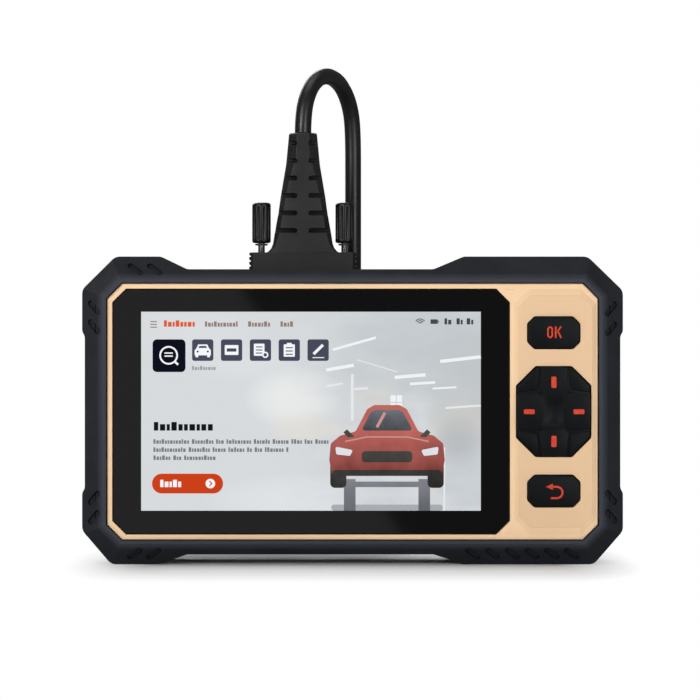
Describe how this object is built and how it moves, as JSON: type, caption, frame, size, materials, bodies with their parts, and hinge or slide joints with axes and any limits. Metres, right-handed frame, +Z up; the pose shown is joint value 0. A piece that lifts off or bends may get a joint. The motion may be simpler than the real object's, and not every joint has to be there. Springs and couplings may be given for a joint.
{
  "type": "obd code reader",
  "caption": "Rugged handheld vehicle diagnostic tablet with screen, keypad, D-sub plug on top and a bundled lead ending in an OBD-II plug.",
  "frame": {"origin": "middle of the reader's footprint, on the surface that it stands on", "axes": "+X to the right as the screen is read, +Z up, the screen faces -Y"},
  "size_m": [0.214, 0.1291, 0.1983],
  "materials": {
    "bumper_rubber": "satin-black rubber with a blue cast, fine matt grain",
    "shell_plastic": "fine-textured black ABS",
    "bezel_paint": "champagne-gold satin paint, woven texture on the key panel",
    "cover_glass": "toughened glass with a printed black border",
    "display": "lit liquid-crystal display",
    "key_rubber": "black silicone rubber, satin",
    "key_legend": "red-orange printed or moulded legends",
    "steel": "nickel-plated steel",
    "circuit_board": "green solder mask",
    "foil": "satin foil",
    "moulded_black": "over-moulded black PVC, satin",
    "cable_jacket": "smooth black PVC jacket",
    "tie_fabric": "black hook-and-loop strap",
    "white_plastic": "off-white moulded plastic",
    "foam": "black foam gasket"
  },
  "bodies": {
    "root": {"bumper_frame": "bumper_rubber", "front_housing": "shell_plastic", "rear_housing": "shell_plastic", "bezel_plate": "bezel_paint", "cover_glass": "cover_glass", "glass_gasket": "foam", "lcd_panel": "display", "lcd_backlight": "white_plastic", "lcd_bracket": "steel", "main_board": "circuit_board", "keypad_board": "circuit_board", "board_connector": "white_plastic", "battery": "foil", "speaker": "moulded_black", "rating_plate": "foil", "dsub_socket": "steel", "standoff_left": "steel", "standoff_right": "steel", "usb_socket": "steel", "ok_switch": "white_plastic", "back_switch": "white_plastic", "up_switch": "white_plastic", "down_switch": "white_plastic", "left_switch": "white_plastic", "right_switch": "white_plastic", "power_switch": "white_plastic", "case_screw_1": "steel", "case_screw_2": "steel", "case_screw_3": "steel", "case_screw_4": "steel", "case_screw_5": "steel", "case_screw_6": "steel", "board_screw_1": "steel", "board_screw_2": "steel", "board_screw_3": "steel", "board_screw_4": "steel", "plug_hood": "moulded_black", "plug_shell": "steel", "plug_insert": "white_plastic", "cable_lead": "cable_jacket", "cable_hank": "cable_jacket", "cable_tail": "cable_jacket", "hank_tie": "tie_fabric", "obd_strain_relief": "moulded_black", "obd_plug_body": "moulded_black", "obd_plug_shroud": "moulded_black", "obd_plug_insert": "moulded_black"},
    "ok_key": {"ok_key": "key_rubber"},
    "back_key": {"back_key": "key_rubber"},
    "power_key": {"power_key": "key_rubber"},
    "dpad_rocker": {"dpad_rocker": "white_plastic"},
    "dpad": {"dpad": "key_rubber"},
    "washer_left": {"screw_washer_left": "steel"},
    "thumb_screw_left": {"thumb_knob_left": "moulded_black", "jack_screw_left": "steel"},
    "washer_right": {"screw_washer_right": "steel"},
    "thumb_screw_right": {"thumb_knob_right": "moulded_black", "jack_screw_right": "steel"}
  },
  "joints": [
    {"name": "ok_key_press", "type": "slide", "parent": "root", "child": "ok_key", "axis": [0, 1, 0], "range_m": [0, 0.0009], "stiffness_N_per_m": 1500},
    {"name": "back_key_press", "type": "slide", "parent": "root", "child": "back_key", "axis": [0, 1, 0], "range_m": [0, 0.0009], "stiffness_N_per_m": 1500},
    {"name": "power_key_press", "type": "slide", "parent": "root", "child": "power_key", "axis": [0, 0, -1], "range_m": [0, 0.0008], "stiffness_N_per_m": 1500},
    {"name": "dpad_tilt_up_down", "type": "hinge", "parent": "root", "child": "dpad_rocker", "pos_m": [0.0793, -0.013, 0.0605], "axis": [1, 0, 0], "range_deg": [-2.5, 2.5], "stiffness_Nm_per_rad": 0.6},
    {"name": "dpad_tilt_left_right", "type": "hinge", "parent": "dpad_rocker", "child": "dpad", "pos_m": [0.0793, -0.013, 0.0605], "axis": [0, 0, 1], "range_deg": [-2.5, 2.5], "stiffness_Nm_per_rad": 0.6},
    {"name": "washer_left_lift", "type": "slide", "parent": "root", "child": "washer_left", "axis": [0, 0, 1], "range_m": [0, 0.00507]},
    {"name": "thumb_screw_left_turn", "type": "hinge", "parent": "washer_left", "child": "thumb_screw_left", "pos_m": [-0.03646, 0, 0.1276], "axis": [0, 0, 1], "range_deg": [0, 2880]},
    {"name": "washer_right_lift", "type": "slide", "parent": "root", "child": "washer_right", "axis": [0, 0, 1], "range_m": [0, 0.00507]},
    {"name": "thumb_screw_right_turn", "type": "hinge", "parent": "washer_right", "child": "thumb_screw_right", "pos_m": [-0.00314, 0, 0.1276], "axis": [0, 0, 1], "range_deg": [0, 2880]}
  ],
  "couplings": [
    {"joint": "thumb_screw_left_turn", "follows": "washer_left_lift", "rad_per_m": 9894.8},
    {"joint": "thumb_screw_right_turn", "follows": "washer_right_lift", "rad_per_m": 9894.8}
  ]
}
